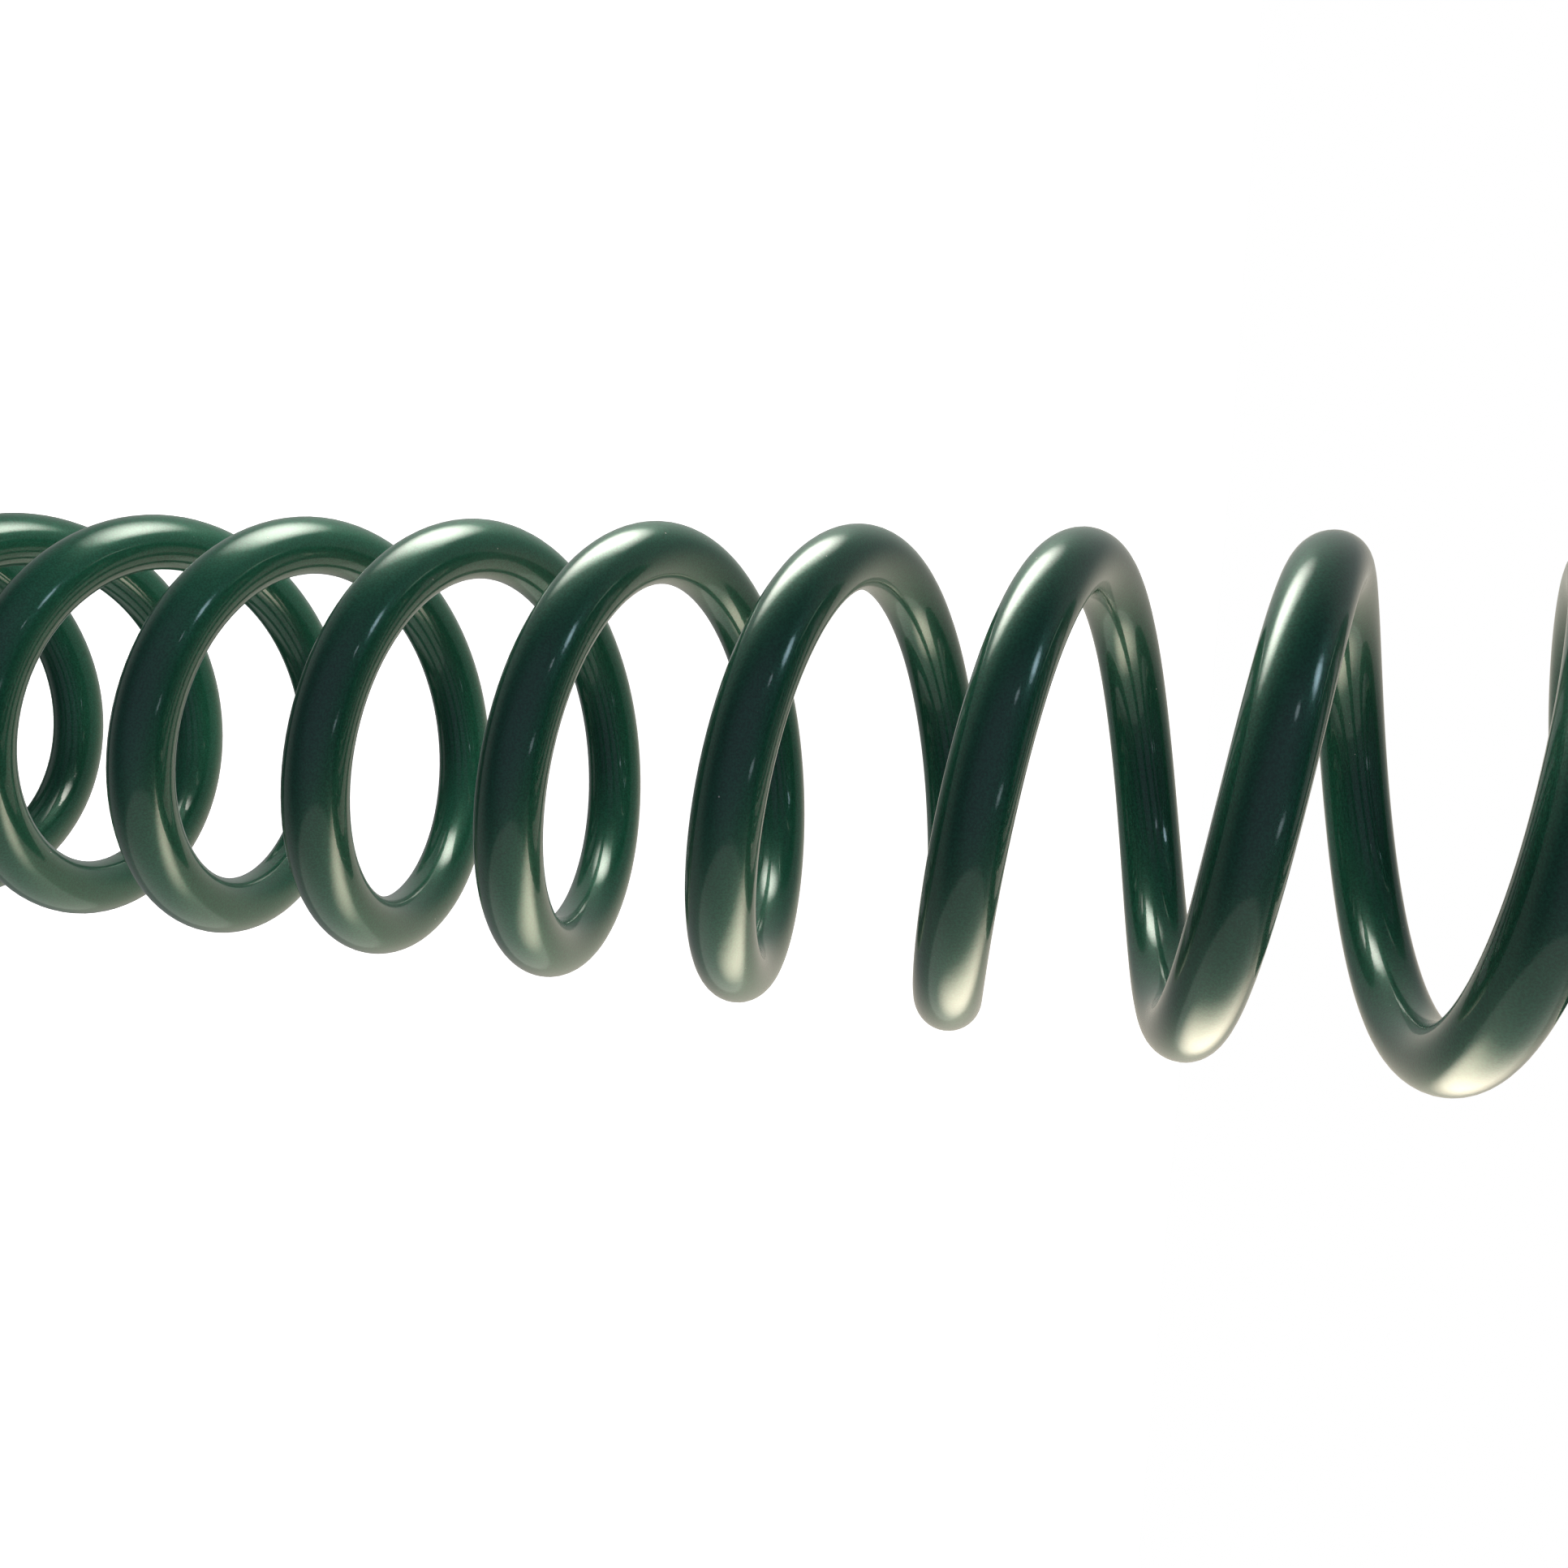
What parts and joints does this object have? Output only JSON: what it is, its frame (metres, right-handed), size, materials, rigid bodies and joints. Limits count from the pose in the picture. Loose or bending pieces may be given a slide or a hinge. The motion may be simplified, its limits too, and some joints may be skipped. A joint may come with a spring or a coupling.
{
  "type": "coil spring",
  "caption": "Long left-hand helical compression spring of round wire in glossy dark green, with closed and ground ends, for a coil-over damper.",
  "frame": {"origin": "centre of the lower ground face, on the spring's axis", "axes": "+Z along the spring's axis from the lower ground end to the upper one; +X through both wire tips"},
  "size_m": [0.0861, 0.0862, 0.4572],
  "materials": {
    "coated_wire": "gloss"
  },
  "bodies": {
    "lower_end": {"lower_end_coil": "coated_wire"},
    "upper_end": {"upper_end_coil": "coated_wire"},
    "turn_02_quarter_2": {"turn_02_quarter_2": "coated_wire"},
    "turn_02_quarter_3": {"turn_02_quarter_3": "coated_wire"},
    "turn_02_quarter_4": {"turn_02_quarter_4": "coated_wire"},
    "turn_03_quarter_1": {"turn_03_quarter_1": "coated_wire"},
    "turn_03_quarter_2": {"turn_03_quarter_2": "coated_wire"},
    "turn_03_quarter_3": {"turn_03_quarter_3": "coated_wire"},
    "turn_03_quarter_4": {"turn_03_quarter_4": "coated_wire"},
    "turn_04_quarter_1": {"turn_04_quarter_1": "coated_wire"},
    "turn_04_quarter_2": {"turn_04_quarter_2": "coated_wire"},
    "turn_04_quarter_3": {"turn_04_quarter_3": "coated_wire"},
    "turn_04_quarter_4": {"turn_04_quarter_4": "coated_wire"},
    "turn_05_quarter_1": {"turn_05_quarter_1": "coated_wire"},
    "turn_05_quarter_2": {"turn_05_quarter_2": "coated_wire"},
    "turn_05_quarter_3": {"turn_05_quarter_3": "coated_wire"},
    "turn_05_quarter_4": {"turn_05_quarter_4": "coated_wire"},
    "turn_06_quarter_1": {"turn_06_quarter_1": "coated_wire"},
    "turn_06_quarter_2": {"turn_06_quarter_2": "coated_wire"},
    "turn_06_quarter_3": {"turn_06_quarter_3": "coated_wire"},
    "turn_06_quarter_4": {"turn_06_quarter_4": "coated_wire"},
    "turn_07_quarter_1": {"turn_07_quarter_1": "coated_wire"},
    "turn_07_quarter_2": {"turn_07_quarter_2": "coated_wire"},
    "turn_07_quarter_3": {"turn_07_quarter_3": "coated_wire"},
    "turn_07_quarter_4": {"turn_07_quarter_4": "coated_wire"},
    "turn_08_quarter_1": {"turn_08_quarter_1": "coated_wire"},
    "turn_08_quarter_2": {"turn_08_quarter_2": "coated_wire"},
    "turn_08_quarter_3": {"turn_08_quarter_3": "coated_wire"},
    "turn_08_quarter_4": {"turn_08_quarter_4": "coated_wire"},
    "turn_09_quarter_1": {"turn_09_quarter_1": "coated_wire"},
    "turn_09_quarter_2": {"turn_09_quarter_2": "coated_wire"},
    "turn_09_quarter_3": {"turn_09_quarter_3": "coated_wire"},
    "turn_09_quarter_4": {"turn_09_quarter_4": "coated_wire"},
    "turn_10_quarter_1": {"turn_10_quarter_1": "coated_wire"},
    "turn_10_quarter_2": {"turn_10_quarter_2": "coated_wire"},
    "turn_10_quarter_3": {"turn_10_quarter_3": "coated_wire"},
    "turn_10_quarter_4": {"turn_10_quarter_4": "coated_wire"},
    "turn_11_quarter_1": {"turn_11_quarter_1": "coated_wire"},
    "turn_11_quarter_2": {"turn_11_quarter_2": "coated_wire"},
    "turn_11_quarter_3": {"turn_11_quarter_3": "coated_wire"},
    "turn_11_quarter_4": {"turn_11_quarter_4": "coated_wire"},
    "turn_12_quarter_1": {"turn_12_quarter_1": "coated_wire"},
    "turn_12_quarter_2": {"turn_12_quarter_2": "coated_wire"},
    "turn_12_quarter_3": {"turn_12_quarter_3": "coated_wire"},
    "turn_12_quarter_4": {"turn_12_quarter_4": "coated_wire"},
    "turn_13_quarter_1": {"turn_13_quarter_1": "coated_wire"},
    "turn_13_quarter_2": {"turn_13_quarter_2": "coated_wire"},
    "turn_13_quarter_3": {"turn_13_quarter_3": "coated_wire"}
  },
  "joints": [
    {"name": "compression", "type": "slide", "parent": "lower_end", "child": "upper_end", "axis": [0, 0, 1], "range_m": [-0.28, 0], "stiffness_N_per_m": 31900},
    {"name": "turn_02_quarter_2_close", "type": "slide", "parent": "lower_end", "child": "turn_02_quarter_2", "axis": [0, 0, 1], "range_m": [-0.00158, 0]},
    {"name": "turn_02_quarter_3_close", "type": "slide", "parent": "lower_end", "child": "turn_02_quarter_3", "axis": [0, 0, 1], "range_m": [-0.00631, 0]},
    {"name": "turn_02_quarter_4_close", "type": "slide", "parent": "lower_end", "child": "turn_02_quarter_4", "axis": [0, 0, 1], "range_m": [-0.01261, 0]},
    {"name": "turn_03_quarter_1_close", "type": "slide", "parent": "lower_end", "child": "turn_03_quarter_1", "axis": [0, 0, 1], "range_m": [-0.01892, 0]},
    {"name": "turn_03_quarter_2_close", "type": "slide", "parent": "lower_end", "child": "turn_03_quarter_2", "axis": [0, 0, 1], "range_m": [-0.02499, 0]},
    {"name": "turn_03_quarter_3_close", "type": "slide", "parent": "lower_end", "child": "turn_03_quarter_3", "axis": [0, 0, 1], "range_m": [-0.03122, 0]},
    {"name": "turn_03_quarter_4_close", "type": "slide", "parent": "lower_end", "child": "turn_03_quarter_4", "axis": [0, 0, 1], "range_m": [-0.0375, 0]},
    {"name": "turn_04_quarter_1_close", "type": "slide", "parent": "lower_end", "child": "turn_04_quarter_1", "axis": [0, 0, 1], "range_m": [-0.0438, 0]},
    {"name": "turn_04_quarter_2_close", "type": "slide", "parent": "lower_end", "child": "turn_04_quarter_2", "axis": [0, 0, 1], "range_m": [-0.0499, 0]},
    {"name": "turn_04_quarter_3_close", "type": "slide", "parent": "lower_end", "child": "turn_04_quarter_3", "axis": [0, 0, 1], "range_m": [-0.05613, 0]},
    {"name": "turn_04_quarter_4_close", "type": "slide", "parent": "lower_end", "child": "turn_04_quarter_4", "axis": [0, 0, 1], "range_m": [-0.06239, 0]},
    {"name": "turn_05_quarter_1_close", "type": "slide", "parent": "lower_end", "child": "turn_05_quarter_1", "axis": [0, 0, 1], "range_m": [-0.06869, 0]},
    {"name": "turn_05_quarter_2_close", "type": "slide", "parent": "lower_end", "child": "turn_05_quarter_2", "axis": [0, 0, 1], "range_m": [-0.07481, 0]},
    {"name": "turn_05_quarter_3_close", "type": "slide", "parent": "lower_end", "child": "turn_05_quarter_3", "axis": [0, 0, 1], "range_m": [-0.08104, 0]},
    {"name": "turn_05_quarter_4_close", "type": "slide", "parent": "lower_end", "child": "turn_05_quarter_4", "axis": [0, 0, 1], "range_m": [-0.08727, 0]},
    {"name": "turn_06_quarter_1_close", "type": "slide", "parent": "lower_end", "child": "turn_06_quarter_1", "axis": [0, 0, 1], "range_m": [-0.09358, 0]},
    {"name": "turn_06_quarter_2_close", "type": "slide", "parent": "lower_end", "child": "turn_06_quarter_2", "axis": [0, 0, 1], "range_m": [-0.09972, 0]},
    {"name": "turn_06_quarter_3_close", "type": "slide", "parent": "lower_end", "child": "turn_06_quarter_3", "axis": [0, 0, 1], "range_m": [-0.10595, 0]},
    {"name": "turn_06_quarter_4_close", "type": "slide", "parent": "lower_end", "child": "turn_06_quarter_4", "axis": [0, 0, 1], "range_m": [-0.11216, 0]},
    {"name": "turn_07_quarter_1_close", "type": "slide", "parent": "lower_end", "child": "turn_07_quarter_1", "axis": [0, 0, 1], "range_m": [-0.11847, 0]},
    {"name": "turn_07_quarter_2_close", "type": "slide", "parent": "lower_end", "child": "turn_07_quarter_2", "axis": [0, 0, 1], "range_m": [-0.12463, 0]},
    {"name": "turn_07_quarter_3_close", "type": "slide", "parent": "lower_end", "child": "turn_07_quarter_3", "axis": [0, 0, 1], "range_m": [-0.13086, 0]},
    {"name": "turn_07_quarter_4_close", "type": "slide", "parent": "lower_end", "child": "turn_07_quarter_4", "axis": [0, 0, 1], "range_m": [-0.13705, 0]},
    {"name": "turn_08_quarter_1_close", "type": "slide", "parent": "lower_end", "child": "turn_08_quarter_1", "axis": [0, 0, 1], "range_m": [-0.14335, 0]},
    {"name": "turn_08_quarter_2_close", "type": "slide", "parent": "lower_end", "child": "turn_08_quarter_2", "axis": [0, 0, 1], "range_m": [-0.14954, 0]},
    {"name": "turn_08_quarter_3_close", "type": "slide", "parent": "lower_end", "child": "turn_08_quarter_3", "axis": [0, 0, 1], "range_m": [-0.15577, 0]},
    {"name": "turn_08_quarter_4_close", "type": "slide", "parent": "lower_end", "child": "turn_08_quarter_4", "axis": [0, 0, 1], "range_m": [-0.16193, 0]},
    {"name": "turn_09_quarter_1_close", "type": "slide", "parent": "lower_end", "child": "turn_09_quarter_1", "axis": [0, 0, 1], "range_m": [-0.16824, 0]},
    {"name": "turn_09_quarter_2_close", "type": "slide", "parent": "lower_end", "child": "turn_09_quarter_2", "axis": [0, 0, 1], "range_m": [-0.17445, 0]},
    {"name": "turn_09_quarter_3_close", "type": "slide", "parent": "lower_end", "child": "turn_09_quarter_3", "axis": [0, 0, 1], "range_m": [-0.18068, 0]},
    {"name": "turn_09_quarter_4_close", "type": "slide", "parent": "lower_end", "child": "turn_09_quarter_4", "axis": [0, 0, 1], "range_m": [-0.18682, 0]},
    {"name": "turn_10_quarter_1_close", "type": "slide", "parent": "lower_end", "child": "turn_10_quarter_1", "axis": [0, 0, 1], "range_m": [-0.19313, 0]},
    {"name": "turn_10_quarter_2_close", "type": "slide", "parent": "lower_end", "child": "turn_10_quarter_2", "axis": [0, 0, 1], "range_m": [-0.19936, 0]},
    {"name": "turn_10_quarter_3_close", "type": "slide", "parent": "lower_end", "child": "turn_10_quarter_3", "axis": [0, 0, 1], "range_m": [-0.20559, 0]},
    {"name": "turn_10_quarter_4_close", "type": "slide", "parent": "lower_end", "child": "turn_10_quarter_4", "axis": [0, 0, 1], "range_m": [-0.21171, 0]},
    {"name": "turn_11_quarter_1_close", "type": "slide", "parent": "lower_end", "child": "turn_11_quarter_1", "axis": [0, 0, 1], "range_m": [-0.21801, 0]},
    {"name": "turn_11_quarter_2_close", "type": "slide", "parent": "lower_end", "child": "turn_11_quarter_2", "axis": [0, 0, 1], "range_m": [-0.22427, 0]},
    {"name": "turn_11_quarter_3_close", "type": "slide", "parent": "lower_end", "child": "turn_11_quarter_3", "axis": [0, 0, 1], "range_m": [-0.2305, 0]},
    {"name": "turn_11_quarter_4_close", "type": "slide", "parent": "lower_end", "child": "turn_11_quarter_4", "axis": [0, 0, 1], "range_m": [-0.2366, 0]},
    {"name": "turn_12_quarter_1_close", "type": "slide", "parent": "lower_end", "child": "turn_12_quarter_1", "axis": [0, 0, 1], "range_m": [-0.2429, 0]},
    {"name": "turn_12_quarter_2_close", "type": "slide", "parent": "lower_end", "child": "turn_12_quarter_2", "axis": [0, 0, 1], "range_m": [-0.24918, 0]},
    {"name": "turn_12_quarter_3_close", "type": "slide", "parent": "lower_end", "child": "turn_12_quarter_3", "axis": [0, 0, 1], "range_m": [-0.25541, 0]},
    {"name": "turn_12_quarter_4_close", "type": "slide", "parent": "lower_end", "child": "turn_12_quarter_4", "axis": [0, 0, 1], "range_m": [-0.26148, 0]},
    {"name": "turn_13_quarter_1_close", "type": "slide", "parent": "lower_end", "child": "turn_13_quarter_1", "axis": [0, 0, 1], "range_m": [-0.26779, 0]},
    {"name": "turn_13_quarter_2_close", "type": "slide", "parent": "lower_end", "child": "turn_13_quarter_2", "axis": [0, 0, 1], "range_m": [-0.27409, 0]},
    {"name": "turn_13_quarter_3_close", "type": "slide", "parent": "lower_end", "child": "turn_13_quarter_3", "axis": [0, 0, 1], "range_m": [-0.27882, 0]}
  ],
  "couplings": [
    {"joint": "turn_02_quarter_2_close", "follows": "compression", "ratio": 0.00492},
    {"joint": "turn_02_quarter_3_close", "follows": "compression", "ratio": 0.02183},
    {"joint": "turn_02_quarter_4_close", "follows": "compression", "ratio": 0.04433},
    {"joint": "turn_03_quarter_1_close", "follows": "compression", "ratio": 0.06685},
    {"joint": "turn_03_quarter_2_close", "follows": "compression", "ratio": 0.08855},
    {"joint": "turn_03_quarter_3_close", "follows": "compression", "ratio": 0.11079},
    {"joint": "turn_03_quarter_4_close", "follows": "compression", "ratio": 0.13321},
    {"joint": "turn_04_quarter_1_close", "follows": "compression", "ratio": 0.15573},
    {"joint": "turn_04_quarter_2_close", "follows": "compression", "ratio": 0.17751},
    {"joint": "turn_04_quarter_3_close", "follows": "compression", "ratio": 0.19975},
    {"joint": "turn_04_quarter_4_close", "follows": "compression", "ratio": 0.22209},
    {"joint": "turn_05_quarter_1_close", "follows": "compression", "ratio": 0.24462},
    {"joint": "turn_05_quarter_2_close", "follows": "compression", "ratio": 0.26647},
    {"joint": "turn_05_quarter_3_close", "follows": "compression", "ratio": 0.28871},
    {"joint": "turn_05_quarter_4_close", "follows": "compression", "ratio": 0.31098},
    {"joint": "turn_06_quarter_1_close", "follows": "compression", "ratio": 0.3335},
    {"joint": "turn_06_quarter_2_close", "follows": "compression", "ratio": 0.35544},
    {"joint": "turn_06_quarter_3_close", "follows": "compression", "ratio": 0.37768},
    {"joint": "turn_06_quarter_4_close", "follows": "compression", "ratio": 0.39986},
    {"joint": "turn_07_quarter_1_close", "follows": "compression", "ratio": 0.42238},
    {"joint": "turn_07_quarter_2_close", "follows": "compression", "ratio": 0.4444},
    {"joint": "turn_07_quarter_3_close", "follows": "compression", "ratio": 0.46664},
    {"joint": "turn_07_quarter_4_close", "follows": "compression", "ratio": 0.48874},
    {"joint": "turn_08_quarter_1_close", "follows": "compression", "ratio": 0.51126},
    {"joint": "turn_08_quarter_2_close", "follows": "compression", "ratio": 0.53336},
    {"joint": "turn_08_quarter_3_close", "follows": "compression", "ratio": 0.5556},
    {"joint": "turn_08_quarter_4_close", "follows": "compression", "ratio": 0.57762},
    {"joint": "turn_09_quarter_1_close", "follows": "compression", "ratio": 0.60014},
    {"joint": "turn_09_quarter_2_close", "follows": "compression", "ratio": 0.62232},
    {"joint": "turn_09_quarter_3_close", "follows": "compression", "ratio": 0.64456},
    {"joint": "turn_09_quarter_4_close", "follows": "compression", "ratio": 0.6665},
    {"joint": "turn_10_quarter_1_close", "follows": "compression", "ratio": 0.68902},
    {"joint": "turn_10_quarter_2_close", "follows": "compression", "ratio": 0.71129},
    {"joint": "turn_10_quarter_3_close", "follows": "compression", "ratio": 0.73353},
    {"joint": "turn_10_quarter_4_close", "follows": "compression", "ratio": 0.75538},
    {"joint": "turn_11_quarter_1_close", "follows": "compression", "ratio": 0.77791},
    {"joint": "turn_11_quarter_2_close", "follows": "compression", "ratio": 0.80025},
    {"joint": "turn_11_quarter_3_close", "follows": "compression", "ratio": 0.82249},
    {"joint": "turn_11_quarter_4_close", "follows": "compression", "ratio": 0.84427},
    {"joint": "turn_12_quarter_1_close", "follows": "compression", "ratio": 0.86679},
    {"joint": "turn_12_quarter_2_close", "follows": "compression", "ratio": 0.88921},
    {"joint": "turn_12_quarter_3_close", "follows": "compression", "ratio": 0.91145},
    {"joint": "turn_12_quarter_4_close", "follows": "compression", "ratio": 0.93315},
    {"joint": "turn_13_quarter_1_close", "follows": "compression", "ratio": 0.95567},
    {"joint": "turn_13_quarter_2_close", "follows": "compression", "ratio": 0.97817},
    {"joint": "turn_13_quarter_3_close", "follows": "compression", "ratio": 0.99508}
  ]
}
